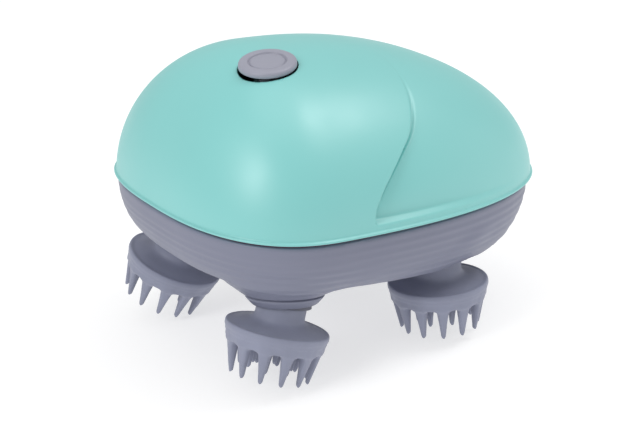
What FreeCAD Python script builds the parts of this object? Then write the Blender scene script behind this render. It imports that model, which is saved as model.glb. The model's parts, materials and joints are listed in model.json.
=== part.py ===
"""Rechargeable kneading scalp massager with four geared claw heads, in millimetres.

Z is up and the tooth tips stand on Z = 0. X runs from the blunt end (-X) to the narrow end (+X),
and the body is centred on the Z axis. The gearbox stands upright, and the two shells sit on it with
their parting line a little nose-down. Each sub-part is written to parts/NODE.step.
"""
import FreeCAD
import Part
import math
import os

from FreeCAD import Vector

# ---- driving dimensions -------------------------------------------------------------------
# shells, in the body's own frame, whose parting line is level
BODY_LENGTH = 115.0
BODY_WIDTH = 96.0
BLUNT_LENGTH = 32.0        # blunt end to the widest section
BLUNT_POWER = 2.6          # squareness of the plan curve at the blunt end
NARROW_POWER = 2.38        # and at the narrow end
DOME_RISE = 41.0           # parting line to the top of the dome
DOME_SHIFT = 3.0           # how far the dome's top leans towards the narrow end
SEAM_Z = 42.79             # height of the parting line above the tooth tips, at the drive gear
SEAM_GAP = 0.8             # reveal line between the two shells
BODY_TILT = 4.5            # degrees that the parting line dips towards the narrow end
BODY_X = -0.276            # middle of the plan, which centres the tilted body on the Z axis
WALL = 2.2
BOWL_DEPTH = 18.1          # parting line to the flat underside, at X = 0
BOWL_KEEL = 0.075          # how much deeper the underside gets per mm towards the narrow end
BOWL_STEPS = ((0.0, 0.988), (3.3, 0.985), (6.6, 0.975), (9.9, 0.955), (13.2, 0.925),
              (15.8, 0.885), (17.5, 0.84), (BOWL_DEPTH, 0.79))   # depth, share of the plan curve
SCREW_SPOTS = ((-6.6, 36.5), (-6.6, -36.5), (39.4, 0.0), (-48.6, 0.0))
SCREW_SEAT = 8.0           # parting line to the seats of the case screws

# heads
HEAD_CENTRE_X = -10.03     # axis of the drive gear
PIVOT_REACH = 36.6         # drive gear's axis to the wobble pivots
HEAD_BEARING = 48.2        # degrees between the centre line and the heads, at each end
PIVOT_DEPTH = 16.8         # parting line to the wobble pivots
SPLAY = 13.0               # degrees that each boss leans outwards
WOBBLE = 11.5              # degrees between a boss and its bent stub
WOBBLE_HEADING = 143.0     # the way that all four claws lean at rest, degrees from +X
CLAW_TURNS = {1: 28.5, 2: 16.5, 3: 0.0, 4: 15.0}    # each claw's turn on its own axis, degrees
MOUTH = 3.6                # pivot to the mouth of a boss, along the boss
FLARE_R = 10.4             # wide end of the flare below a mouth, where the underside is deeper than it
FLARE_DEPTH = 2.6
DISH_R = 16.4              # shallow dish below the flare, which the claw's rim sweeps
BOSS_BORE_R = 7.7
BOSS_COLLAR_R = 8.8
BUSH_R = 4.0
BUSH_TOP = 8.0
SEAL_R = 5.0
HUB_R = 7.0
STUB_R = 3.6
STUB_LENGTH = 10.0
SHAFT_R = 2.0
RUNNING = 0.05             # radial clearance of everything that turns or slides

# claws
CLAW_NECK_R = 6.7
CLAW_RIM_R = 14.0
CLAW_RIM = 10.2            # pivot to the rim's top edge, along the claw
CLAW_BAND = 4.4            # height of the band below the rim
CLAW_LENGTH = 23.6         # pivot to the tooth tips, along the claw
CLAW_TIP_R = 11.0          # radius of the circle of tips
OUTER_TEETH = 12
INNER_TEETH = 6
OUTER_TOOTH = ((0.0, 2.5, 3.0), (0.12, 1.8, 2.7), (0.5, 1.15, 1.9), (1.0, 0.5, 0.9))
INNER_TOOTH = ((0.0, 1.7, 2.4), (0.5, 1.1, 1.6), (1.0, 0.45, 0.8))   # share of length, half width, depth

# drive
CONE_TEETH = 42            # drive gear's conical ring, which turns the four heads
HEAD_TEETH = 16
RING_TEETH = 40            # drive gear's upper spur ring
IDLER_PINION_TEETH = 12
RING_MODULE = 1.0
RING_HEIGHT = 4.2          # height of the upper spur ring
IDLER_TEETH = 48
MOTOR_TEETH = 12
MOTOR_MODULE = 0.6
BACKLASH = 0.11            # taken off each flank
HEAD_GEAR_Z0 = 8.8         # up the boss from the pivot
HEAD_GEAR_Z1 = 13.2
AXLE_R = 2.5
IDLER_AXLE_R = 1.5
IDLER_HEAD_R = 2.4
COVER_SPOTS = ((0.0, 30.0), (0.0, -30.0), (-30.0, 0.0), (48.2, 7.2), (48.2, -7.2))  # from the drive gear
COVER_LIFT = 3.6           # parting line to the foot of the gearbox cover
COVER_THICK = 2.0

# button
BUTTON_X = -30.5
BUTTON_Y = -12.8
BUTTON_R = 7.7
BUTTON_RING_R = 4.9
BUTTON_STAND = 0.9         # how far the cap stands out of the dome
BUTTON_LEVEL = 0.68        # share of the dome's slope that the button follows
BUTTON_TRAVEL = 0.5
STEM_R = 2.5
STEM_END = -5.3
GUIDE_TOP = -3.2
GUIDE_FOOT = -4.2
SWITCH_FOOT = -9.4
SPRING_R = 3.4
SPRING_WIRE_R = 0.25
SPRING_TURNS = 3

# motor, battery and boards
MOTOR_R = 12.0
MOTOR_LENGTH = 23.0
MOTOR_BEARING = 145.0      # the motor's bearing from the idler, degrees
MOTOR_SCREW_R = 8.0
BATTERY_X = -32.0
BATTERY_R = 9.0
BATTERY_HALF = 25.0
HOLDER_X = -18.6
HOLDER_SPOTS = (12.0, -12.0)
BOARD_SPOTS = ((21.5, 13.0), (21.5, -13.0), (33.0, 9.0), (33.0, -9.0))
BOARD_LIFT = 4.0
BOARD_THICK = 1.6
PORT_DEPTH = 6.4           # parting line to the middle of the charging port
PORT_X = 52.6
PORT_W = 8.9
PORT_H = 3.2
SOCKET_X0 = 45.2

# ---- values worked out from them ------------------------------------------------------------
NARROW_LENGTH = BODY_LENGTH - BLUNT_LENGTH
PLAN_X = BODY_X + BLUNT_LENGTH - BODY_LENGTH / 2
HALF_WIDTH = BODY_WIDTH / 2
UP = Vector(0, 0, 1)
BODY = FreeCAD.Placement(Vector(0, 0, 0), FreeCAD.Rotation(Vector(0, 1, 0), BODY_TILT),
                         Vector(HEAD_CENTRE_X, 0, SEAM_Z))
PIVOT_Z = SEAM_Z - PIVOT_DEPTH
APEX_Z = PIVOT_Z + PIVOT_REACH / math.tan(math.radians(SPLAY))
HEADINGS = {1: 180 - HEAD_BEARING, 2: 180 + HEAD_BEARING, 3: 360 - HEAD_BEARING, 4: HEAD_BEARING}
FLOOR_Z = SEAM_Z - BOWL_DEPTH - BOWL_KEEL * HEAD_CENTRE_X + WALL
CONE_SUM = math.radians(SPLAY)
HEAD_CONE = math.atan(math.sin(CONE_SUM) / (CONE_TEETH / HEAD_TEETH + math.cos(CONE_SUM)))
DRIVE_CONE = CONE_SUM - HEAD_CONE
HEAD_APEX = PIVOT_REACH / math.sin(CONE_SUM)           # pivot to the cone's apex, up the boss
HEAD_MODULE = 2 * (HEAD_APEX - HEAD_GEAR_Z0) * math.tan(HEAD_CONE) / HEAD_TEETH
GEAR_Z0 = APEX_Z - (HEAD_APEX - HEAD_GEAR_Z0) / math.cos(HEAD_CONE) * math.cos(DRIVE_CONE)
GEAR_Z1 = APEX_Z - (HEAD_APEX - HEAD_GEAR_Z1) / math.cos(HEAD_CONE) * math.cos(DRIVE_CONE)
RING_Z1 = GEAR_Z1 + RING_HEIGHT
COVER_Z = SEAM_Z + COVER_LIFT
IDLER_Z0 = GEAR_Z1 + 0.8
IDLER_Z1 = COVER_Z - 3.7
IDLER_Z2 = COVER_Z - 1.1
IDLER_X = HEAD_CENTRE_X + RING_MODULE * (RING_TEETH + IDLER_PINION_TEETH) / 2
MOTOR_REACH = MOTOR_MODULE * (IDLER_TEETH + MOTOR_TEETH) / 2
MOTOR_X = IDLER_X + MOTOR_REACH * math.cos(math.radians(MOTOR_BEARING))
MOTOR_Y = MOTOR_REACH * math.sin(math.radians(MOTOR_BEARING))
MOTOR_Z0 = COVER_Z + COVER_THICK
MOTOR_Z1 = MOTOR_Z0 + MOTOR_LENGTH
BATTERY_Z = MOTOR_Z0 + 1.5 + BATTERY_R
BOARD_Z = MOTOR_Z0 + BOARD_LIFT
PORT_Z = SEAM_Z - PORT_DEPTH

parts = {}


# ---- small helpers ------------------------------------------------------------------------
def polar(radius, degrees, z=0.0):
    a = math.radians(degrees)
    return Vector(radius * math.cos(a), radius * math.sin(a), z)


def cylinder(radius, z0, z1, x=0.0, y=0.0):
    return Part.makeCylinder(radius, z1 - z0, Vector(x, y, z0), UP)


def tube(outer, inner, z0, z1, x=0.0, y=0.0):
    return cylinder(outer, z0, z1, x, y).cut(cylinder(inner, z0, z1, x, y))


def box(x0, x1, y0, y1, z0, z1):
    return Part.makeBox(x1 - x0, y1 - y0, z1 - z0, Vector(x0, y0, z0))


def turned(profile):
    """A solid turned about Z from (radius, z) points."""
    points = [Vector(r, 0, z) for r, z in profile]
    face = Part.Face(Part.makePolygon(points + points[:1]))
    return face.revolve(Vector(0, 0, 0), UP, 360)


def joined(shapes):
    first, rest = shapes[0], shapes[1:]
    return first.fuse(rest).removeSplitter() if rest else first


def save(name, shape):
    parts[name] = shape


def placed(shape, placement):
    copy = shape.copy()
    copy.Placement = placement.multiply(copy.Placement)
    return copy


def seam_height(x):
    """Height of the parting line, which dips towards the narrow end."""
    return SEAM_Z - (x - HEAD_CENTRE_X) * math.tan(math.radians(BODY_TILT))


# ---- the egg-shaped plan and the sections of the shells --------------------------------------
def plan_section(share, z, inset=0.0, shift=0.0, keel=0.0, count=36):
    """A closed curve: the plan shape times share, less inset, at height z, lower by keel per mm of X."""
    points = []
    for i in range(count):
        a = 2 * math.pi * i / count
        c, s = math.cos(a), math.sin(a)
        length, power = (BLUNT_LENGTH, BLUNT_POWER) if c < 0 else (NARROW_LENGTH, NARROW_POWER)
        r = (abs(c) ** power + abs(s) ** power) ** (-1 / power)
        x = PLAN_X + shift + (length * share - inset) * r * c
        y = (HALF_WIDTH * share - inset) * r * s
        points.append(Vector(x, y, z - keel * x))
    curve = Part.BSplineCurve()
    curve.interpolate(points, PeriodicFlag=True)
    return Part.Wire(curve.toShape())


def dome_solid(inset, z0):
    """The dome from z0 above the parting line, thinner by inset all over, on its tilt."""
    rise = DOME_RISE - inset
    start = math.degrees(math.asin(z0 / rise))
    sections = []
    for angle in (start, 12, 24, 36, 48, 60, 71, 80, 86):
        share = math.cos(math.radians(angle))
        lift = math.sin(math.radians(angle))
        wall = inset * share
        sections.append(plan_section(share, SEAM_Z + rise * lift, wall, DOME_SHIFT * lift ** 2))
    return placed(Part.makeLoft(sections, True, False), BODY)


def bowl_solid(inset, z_top, depth):
    """The bowl from z_top below the parting line to that depth, thinner by inset, on its tilt."""
    steps = [(z_top, BOWL_STEPS[0][1])] + [step for step in BOWL_STEPS[1:] if step[0] < depth]
    steps.append((depth, BOWL_STEPS[-1][1] if depth >= BOWL_DEPTH else BOWL_STEPS[-2][1]))
    sections = []
    for down, share in steps:
        keel = BOWL_KEEL * max(down - SEAM_GAP / 2, 0.0) / BOWL_DEPTH
        sections.append(plan_section(share, SEAM_Z - down, inset, 0.0, keel))
    return placed(Part.makeLoft(sections, True, False), BODY)


def dome_height(x, y):
    """Height of the dome's outer skin above the parting line at (x, y), in the body's own frame."""
    low, high = 0.0, 1.0
    for _ in range(40):
        lift = (low + high) / 2
        share = math.sqrt(1 - lift * lift)
        dx = x - PLAN_X - DOME_SHIFT * lift ** 2
        length, power = (BLUNT_LENGTH, BLUNT_POWER) if dx < 0 else (NARROW_LENGTH, NARROW_POWER)
        reach = ((abs(dx) / length) ** power + (abs(y) / HALF_WIDTH) ** power) ** (1 / power)
        low, high = (lift, high) if reach <= share else (low, lift)
    return DOME_RISE * low


# ---- gears --------------------------------------------------------------------------------
def involute(angle):
    return math.tan(angle) - angle


def gear_wire(teeth, module, z, phase=0.0, addendum=0.9, dedendum=1.2, flank_gap=BACKLASH):
    """Closed involute outline at height z; phase is the angle of a tooth's middle, degrees."""
    pitch_r = teeth * module / 2
    base_r = pitch_r * math.cos(math.radians(20))
    tip_r = pitch_r + addendum * module
    root_r = pitch_r - dedendum * module
    half = math.pi / (2 * teeth) - flank_gap / pitch_r
    at_pitch = involute(math.radians(20))

    def flank(r):
        pressure = math.acos(min(1.0, base_r / r)) if r > base_r else 0.0
        return half + at_pitch - involute(pressure)

    start_r = max(root_r, base_r)
    middle_r = (start_r + tip_r) / 2
    edges = []
    for i in range(teeth):
        middle = math.radians(phase) + 2 * math.pi * i / teeth
        pitch = 2 * math.pi / teeth

        def at(r, side):
            a = middle + side * flank(r)
            return Vector(r * math.cos(a), r * math.sin(a), z)

        root_a = middle - flank(start_r)
        root_in = Vector(root_r * math.cos(root_a), root_r * math.sin(root_a), z)
        if root_r < base_r:
            edges.append(Part.makeLine(root_in, at(start_r, -1)))
        edges.append(Part.Arc(at(start_r, -1), at(middle_r, -1), at(tip_r, -1)).toShape())
        edges.append(Part.makeLine(at(tip_r, -1), at(tip_r, 1)))
        edges.append(Part.Arc(at(tip_r, 1), at(middle_r, 1), at(start_r, 1)).toShape())
        out_a = middle + flank(start_r)
        root_out = Vector(root_r * math.cos(out_a), root_r * math.sin(out_a), z)
        if root_r < base_r:
            edges.append(Part.makeLine(at(start_r, 1), root_out))
        next_a = middle + pitch - flank(start_r)
        edges.append(Part.makeLine(root_out, Vector(root_r * math.cos(next_a), root_r * math.sin(next_a), z)))
    return Part.Wire(edges)


def spur(teeth, module, z0, z1, phase=0.0):
    face = Part.Face(gear_wire(teeth, module, z0, phase))
    return face.extrude(Vector(0, 0, z1 - z0))


def cone_gear(teeth, module, z0, z1, apex_z, phase=0.0):
    """A straight conical gear: module holds at z0, and the teeth shrink towards apex_z."""
    wires = []
    for z in (z0, z1):
        wires.append(gear_wire(teeth, module * (apex_z - z) / (apex_z - z0), z, phase))
    return Part.makeLoft(wires, True, True)


# ---- placing the heads ----------------------------------------------------------------------
def boss_placement(heading):
    """Local frame of a boss: origin at the pivot, +Z up its axis, +X outwards."""
    spot = polar(PIVOT_REACH, heading, PIVOT_Z) + Vector(HEAD_CENTRE_X, 0, 0)
    turn = FreeCAD.Rotation(UP, heading).multiply(FreeCAD.Rotation(Vector(0, 1, 0), -SPLAY))
    return FreeCAD.Placement(spot, turn)


def claw_direction(heading):
    """Unit vector up a claw's own axis at rest: the boss's axis, leant by the wobble."""
    boss_up = boss_placement(heading).Rotation.multVec(UP)
    away = polar(1.0, WOBBLE_HEADING)
    away = away - boss_up * away.dot(boss_up)
    away.normalize()
    lean = math.radians(WOBBLE)
    return boss_up * math.cos(lean) - away * math.sin(lean)


def claw_placement(number):
    """Local frame of a claw: origin at the pivot, +Z up its axis."""
    heading = HEADINGS[number]
    turn = FreeCAD.Rotation(UP, claw_direction(heading)).multiply(FreeCAD.Rotation(UP, CLAW_TURNS[number]))
    return FreeCAD.Placement(boss_placement(heading).Base, turn)


# ---- shells ---------------------------------------------------------------------------------
def button_placement():
    """Frame on the dome's skin under the button, +Z up the button, which leans less than the skin."""
    step = 1.0
    z = dome_height(BUTTON_X, BUTTON_Y)
    slope_x = (dome_height(BUTTON_X + step, BUTTON_Y) - dome_height(BUTTON_X - step, BUTTON_Y)) / (2 * step)
    slope_y = (dome_height(BUTTON_X, BUTTON_Y + step) - dome_height(BUTTON_X, BUTTON_Y - step)) / (2 * step)
    normal = Vector(-slope_x * BUTTON_LEVEL, -slope_y * BUTTON_LEVEL, 1)
    skin = FreeCAD.Placement(Vector(BUTTON_X, BUTTON_Y, SEAM_Z + z), FreeCAD.Rotation(UP, normal))
    return BODY.multiply(skin)


def boss_outside():
    """Outer form of a boss in its own frame: a funnel, a groove and a collar round the mouth."""
    return turned([
        (0.0, 7.0), (16.2, 7.0), (16.2, 3.6), (14.4, 1.9), (12.2, 0.2), (10.4, -1.2), (9.3, -1.9),
        (8.5, -2.1), (8.5, -2.4), (BOSS_COLLAR_R, -2.5), (BOSS_COLLAR_R, 0.3 - MOUTH),
        (BOSS_COLLAR_R - 0.3, -MOUTH), (0.0, -MOUTH),
    ])


def lower_posts():
    """Screw posts and gear pedestals, which rise from inside the wall of the bowl."""
    seamed = bowl_solid(WALL / 2, SEAM_GAP / 2, BOWL_DEPTH - WALL / 2)
    tall = bowl_solid(WALL / 2, -8.0, BOWL_DEPTH - WALL / 2)
    foot = FLOOR_Z - 10
    posts = [cylinder(3.2, foot, SEAM_Z + 6, x, y).common(seamed) for x, y in SCREW_SPOTS]
    for x, y in COVER_SPOTS:
        posts.append(cylinder(2.8, foot, COVER_Z, HEAD_CENTRE_X + x, y).common(tall))
    posts.append(cylinder(5.0, foot, GEAR_Z0 - 0.2, HEAD_CENTRE_X, 0).common(tall))
    return posts


def lower_shell():
    shell = bowl_solid(0.0, SEAM_GAP / 2, BOWL_DEPTH)
    shell = shell.fuse([placed(boss_outside(), boss_placement(h)) for h in HEADINGS.values()])
    shell = shell.cut(bowl_solid(WALL, SEAM_GAP / 2, BOWL_DEPTH - WALL))
    shell = shell.fuse(lower_posts())
    for heading in HEADINGS.values():
        place = boss_placement(heading)
        housing = joined([cylinder(BOSS_BORE_R + 1.7, -2.0, 4.4), cylinder(6.4, 4.0, BUSH_TOP)])
        shell = shell.fuse(placed(housing, place))
        flare_z = -MOUTH - FLARE_DEPTH
        flare = Part.makeCone(FLARE_R, BOSS_BORE_R + 0.8, FLARE_DEPTH, Vector(0, 0, flare_z), UP)
        hollow = joined([
            cylinder(BOSS_BORE_R, -MOUTH - 1, 2.4), cylinder(SEAL_R, 2.3, 3.2),
            cylinder(BUSH_R, 3.1, BUSH_TOP + 1), flare, cylinder(DISH_R, flare_z - 10, flare_z),
        ])
        shell = shell.cut(placed(hollow, place))
    for x, y in SCREW_SPOTS:
        seat_z = seam_height(x) - SCREW_SEAT
        shell = shell.cut(cylinder(1.7, seat_z - 14, seat_z + 14, x, y))
        shell = shell.cut(cylinder(2.7, seat_z - 14, seat_z, x, y))
    for x, y in COVER_SPOTS:
        shell = shell.cut(cylinder(0.9, COVER_Z - 7, COVER_Z + 1, HEAD_CENTRE_X + x, y))
    shell = shell.cut(cylinder(AXLE_R, FLOOR_Z - 1.2, SEAM_Z, HEAD_CENTRE_X, 0))
    ledge = placed(box(SOCKET_X0, PORT_X - 1, -6.5, 6.5, FLOOR_Z - 4, PORT_Z - 3.3), BODY)
    shell = shell.fuse(ledge.common(bowl_solid(WALL / 2, SEAM_GAP / 2, BOWL_DEPTH - WALL / 2)))
    shell = shell.cut(placed(slot_bar(PORT_X - 6, PORT_X + 6, PORT_W + 0.4, PORT_H + 0.4), BODY))
    recess = box(PORT_X + 1.6, PORT_X + 9, -6.6, 6.6, PORT_Z - 3.6, PORT_Z + 3.6)
    return shell.cut(placed(recess, BODY))


def slot_bar(x0, x1, width, height):
    """A bar along X with round ends in Y, centred on the charging port."""
    r = height / 2
    middle = box(x0, x1, r - width / 2, width / 2 - r, PORT_Z - r, PORT_Z + r)
    ends = [Part.makeCylinder(r, x1 - x0, Vector(x0, y, PORT_Z), Vector(1, 0, 0))
            for y in (r - width / 2, width / 2 - r)]
    return joined([middle] + ends)


def seam_gasket():
    """Dark cord between the shells, set back to make the reveal line."""
    z0, z1 = SEAM_Z - SEAM_GAP / 2, SEAM_Z + SEAM_GAP / 2
    share = BOWL_STEPS[0][1]
    ring = Part.makeLoft([plan_section(share, z0, 0.7), plan_section(share, z1, 0.7)], True, True)
    inner = Part.makeLoft([plan_section(share, z0, 1.7), plan_section(share, z1, 1.7)], True, True)
    return placed(ring.cut(inner), BODY)


# ---- button on the dome -----------------------------------------------------------------------
def button_cap():
    top = BUTTON_STAND
    profile = [
        (0.0, top - 0.15), (BUTTON_RING_R - 0.35, top - 0.15), (BUTTON_RING_R - 0.1, top - 0.45),
        (BUTTON_RING_R + 0.1, top - 0.45), (BUTTON_RING_R + 0.35, top), (BUTTON_R - 0.8, top - 0.05),
        (BUTTON_R - 0.2, top - 0.4), (BUTTON_R, top - 0.9), (BUTTON_R, -0.8), (STEM_R, -0.8),
        (STEM_R, STEM_END), (0.0, STEM_END),
    ]
    groove = tube(STEM_R + 1, STEM_R - 0.4, -4.95, -4.45)
    return turned(profile).cut(groove)


def button_clip():
    ring = tube(3.9, STEM_R - 0.4, -4.95, -4.45)
    return ring.cut(box(0, 5, -1.4, 1.4, -5.5, -4))


def button_seat():
    """Cup fused to the inside of the dome: guide for the stem, and seat for the switch board."""
    cup = tube(9.4, BUTTON_R + 0.25, GUIDE_FOOT, -0.5)
    skirt = tube(9.4, 8.2, SWITCH_FOOT, GUIDE_FOOT + 0.1)
    return joined([cup, tube(9.0, STEM_R + RUNNING, GUIDE_FOOT, GUIDE_TOP), skirt])


def coil_spring(coil_r, wire_r, z0, z1, turns, per_turn=20, sides=8):
    """A coil as a chain of short straight lengths of wire, with sections set along the helix."""
    rise = z1 - z0 - 2 * wire_r
    steps = turns * per_turn
    sections = []
    for i in range(steps + 1):
        turn = 360.0 * i / per_turn
        outward = polar(1.0, turn)
        along = polar(1.0, turn + 90, rise / (2 * math.pi * coil_r * turns))
        across = along.normalize().cross(outward)
        middle = outward * coil_r + UP * (z0 + wire_r + rise * i / steps)
        ring = []
        for k in range(sides):
            b = 2 * math.pi * k / sides
            ring.append(middle + outward * (wire_r * math.cos(b)) + across * (wire_r * math.sin(b)))
        sections.append(Part.makePolygon(ring + ring[:1]))
    return Part.makeLoft(sections, True, True)


def top_shell():
    shell = dome_solid(0.0, SEAM_GAP / 2).cut(dome_solid(WALL, SEAM_GAP / 2))
    trim = dome_solid(WALL / 2, SEAM_GAP / 2)
    place = button_placement()
    posts = [cylinder(3.2, SEAM_Z - 10, seam_height(x) + 27, x, y).common(trim) for x, y in SCREW_SPOTS]
    shell = shell.fuse(posts)
    shell = shell.cut(placed(cylinder(BUTTON_R + 0.25, -6, 8), place))
    shell = shell.fuse(placed(button_seat(), place).common(trim))
    for x, y in SCREW_SPOTS:
        shell = shell.cut(cylinder(1.3, SEAM_Z - 10, seam_height(x) + 8, x, y))
    return shell


# ---- drive ------------------------------------------------------------------------------------
def drive_gear():
    cone = cone_gear(CONE_TEETH, HEAD_MODULE, GEAR_Z0, GEAR_Z1, APEX_Z)
    ring = spur(RING_TEETH, RING_MODULE, GEAR_Z1, RING_Z1)
    gear = cone.fuse([ring, cylinder(5.0, RING_Z1 - 1, RING_Z1 + 0.8)])
    pocket = tube(16.0, 6.5, GEAR_Z0 + 2.4, RING_Z1 + 0.5)
    gear = gear.cut(pocket)
    for i in range(6):
        hole = polar(11.2, 60 * i + 30)
        gear = gear.cut(cylinder(3.0, GEAR_Z0 - 1, RING_Z1, hole.x, hole.y))
    gear = gear.cut(cylinder(AXLE_R + RUNNING, GEAR_Z0 - 1, RING_Z1 + 2))
    gear.translate(Vector(HEAD_CENTRE_X, 0, 0))
    return gear


def idler_gear():
    """Compound idler: the pinion meets the drive gear's ring, the large gear the motor."""
    facing = 180.0 / IDLER_PINION_TEETH + 180.0       # the ring has a tooth on the line of centres
    pinion = spur(IDLER_PINION_TEETH, RING_MODULE, IDLER_Z0, IDLER_Z1, facing)
    large = spur(IDLER_TEETH, MOTOR_MODULE, IDLER_Z1, IDLER_Z2, MOTOR_BEARING)
    gear = pinion.fuse(large).cut(cylinder(IDLER_AXLE_R + RUNNING, IDLER_Z0 - 1, IDLER_Z2 + 1))
    gear.translate(Vector(IDLER_X, 0, 0))
    return gear


def idler_axle():
    """Headed pin that hangs from the gearbox cover and carries the idler."""
    pin = cylinder(IDLER_AXLE_R, IDLER_Z0 - 0.3, COVER_Z + COVER_THICK, IDLER_X, 0)
    return pin.fuse(cylinder(IDLER_HEAD_R, IDLER_Z0 - 0.65, IDLER_Z0 - 0.1, IDLER_X, 0)).removeSplitter()


def motor_pinion():
    facing = MOTOR_BEARING + 180.0 + 180.0 / MOTOR_TEETH
    pinion = spur(MOTOR_TEETH, MOTOR_MODULE, IDLER_Z1 + 0.1, IDLER_Z2 - 0.1, facing)
    pinion = pinion.cut(cylinder(1.0, IDLER_Z1 - 1, IDLER_Z2 + 1))
    pinion.translate(Vector(MOTOR_X, MOTOR_Y, 0))
    return pinion


def head_gear(heading):
    """Conical gear of one head, in mesh with the drive gear at rest."""
    pitch = 360.0 / CONE_TEETH
    offset = (-heading) % pitch                        # next drive tooth, anticlockwise of the head
    facing = 180.0 - offset * CONE_TEETH / HEAD_TEETH + 180.0 / HEAD_TEETH
    gear = cone_gear(HEAD_TEETH, HEAD_MODULE, HEAD_GEAR_Z0, HEAD_GEAR_Z1, HEAD_APEX, facing)
    gear = gear.cut(cylinder(SHAFT_R, HEAD_GEAR_Z0 - 1, HEAD_GEAR_Z1 + 1))
    return placed(gear, boss_placement(heading))


def gearbox_cover():
    corners = [Vector(HEAD_CENTRE_X + x, y, COVER_Z) for x, y in
               (COVER_SPOTS[2], COVER_SPOTS[1], COVER_SPOTS[4], COVER_SPOTS[3], COVER_SPOTS[0])]
    outline = Part.makePolygon(corners + corners[:1]).makeOffset2D(4.6)
    plate = Part.Face(outline).extrude(Vector(0, 0, COVER_THICK))
    for x, y in SCREW_SPOTS:
        plate = plate.cut(cylinder(3.8, COVER_Z - 1, COVER_Z + 4, x, y))
    for x, y in COVER_SPOTS:
        plate = plate.cut(countersunk(1.2, 2.2, COVER_Z - 1, COVER_Z + COVER_THICK,
                                      HEAD_CENTRE_X + x, y))
    for x, y in BOARD_SPOTS:
        plate = plate.fuse(tube(2.4, 0.8, COVER_Z + 1, BOARD_Z, x, y))
    plate = plate.cut(cylinder(AXLE_R, COVER_Z - 1, COVER_Z + 3, HEAD_CENTRE_X, 0))
    plate = plate.cut(cylinder(IDLER_AXLE_R, COVER_Z - 1, COVER_Z + 3, IDLER_X, 0))
    plate = plate.cut(cylinder(3.1, COVER_Z - 1, COVER_Z + 3, MOTOR_X, MOTOR_Y))
    for x, y in motor_screw_spots():
        plate = plate.cut(flipped_countersunk(1.1, 2.0, COVER_Z, COVER_Z + 3, x, y))
    for y in HOLDER_SPOTS:
        plate = plate.cut(cylinder(0.8, COVER_Z - 1, COVER_Z + 3, HOLDER_X, y))
    return plate


def countersunk(hole_r, head_r, z0, z1, x, y):
    """A hole, or a screw, from z0 up to a flat countersunk head at z1."""
    cone = Part.makeCone(hole_r, head_r, head_r - hole_r, Vector(x, y, z1 - head_r + hole_r), UP)
    return cylinder(hole_r, z0, z1 - head_r + hole_r, x, y).fuse(cone).removeSplitter()


def flipped_countersunk(hole_r, head_r, z0, z1, x, y):
    """The same with its flat head at the foot, z0."""
    cone = Part.makeCone(head_r, hole_r, head_r - hole_r, Vector(x, y, z0), UP)
    return cylinder(hole_r, z0 + head_r - hole_r, z1, x, y).fuse(cone).removeSplitter()


# ---- motor, battery and boards ------------------------------------------------------------------
def motor_screw_spots():
    return [(MOTOR_X + MOTOR_SCREW_R * c, MOTOR_Y + MOTOR_SCREW_R * s) for c, s in
            ((math.cos(math.radians(a)), math.sin(math.radians(a))) for a in (60.0, 240.0))]


def motor_can():
    can = cylinder(MOTOR_R, MOTOR_Z0, MOTOR_Z1, MOTOR_X, MOTOR_Y)
    nose = cylinder(3.0, MOTOR_Z0 - 1.2, MOTOR_Z0, MOTOR_X, MOTOR_Y)
    tail = cylinder(3.5, MOTOR_Z1, MOTOR_Z1 + 1.5, MOTOR_X, MOTOR_Y)
    can = joined([can, nose, tail])
    can = can.makeFillet(1.0, [e for e in can.Edges if abs(e.BoundBox.ZMin - MOTOR_Z1) < 0.01
                               and e.BoundBox.XLength > 1.9 * MOTOR_R])
    can = can.cut(cylinder(1.0 + RUNNING, MOTOR_Z0 - 2, MOTOR_Z1 + 0.5, MOTOR_X, MOTOR_Y))
    for x, y in motor_screw_spots():
        can = can.cut(cylinder(0.9, MOTOR_Z0 - 1, MOTOR_Z0 + 3.2, x, y))
    return can


def motor_shaft():
    return cylinder(1.0, IDLER_Z1 - 0.3, MOTOR_Z1, MOTOR_X, MOTOR_Y)


def battery_cell():
    body = Part.makeCylinder(BATTERY_R, 2 * BATTERY_HALF - 1.2, Vector(BATTERY_X, -BATTERY_HALF, BATTERY_Z),
                             Vector(0, 1, 0))
    cap = Part.makeCylinder(2.8, 1.2, Vector(BATTERY_X, BATTERY_HALF - 1.2, BATTERY_Z), Vector(0, 1, 0))
    return joined([body, cap])


def battery_holder():
    top = BATTERY_Z - 1.0
    tray = box(BATTERY_X - 10.6, BATTERY_X + 10.6, -28, 28, MOTOR_Z0, top)
    flange = box(BATTERY_X + 10, HOLDER_X + 3, -16, 16, MOTOR_Z0, MOTOR_Z0 + 2)
    tray = tray.fuse(flange)
    room = Part.makeCylinder(BATTERY_R + 0.05, 2 * BATTERY_HALF + 1.6,
                             Vector(BATTERY_X, -BATTERY_HALF - 0.8, BATTERY_Z), Vector(0, 1, 0))
    lift = box(BATTERY_X - 9.05, BATTERY_X + 9.05, -BATTERY_HALF - 0.8, BATTERY_HALF + 0.8,
               BATTERY_Z, top + 5)
    tray = tray.cut(room.fuse(lift))
    for y in HOLDER_SPOTS:
        tray = tray.cut(countersunk(1.1, 2.0, MOTOR_Z0 - 1, MOTOR_Z0 + 2, HOLDER_X, y))
    return tray.common(dome_solid(WALL + 0.3, SEAM_GAP / 2))


def battery_contacts():
    """Spring plates between the ends of the cell and the end walls of the holder."""
    plates = []
    for side in (-1, 1):
        y0, y1 = sorted((side * BATTERY_HALF, side * (BATTERY_HALF + 0.8)))
        plates.append(box(BATTERY_X - 4, BATTERY_X + 4, y0, y1, BATTERY_Z - 6, BATTERY_Z + 2.5))
    return Part.makeCompound(plates)


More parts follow.
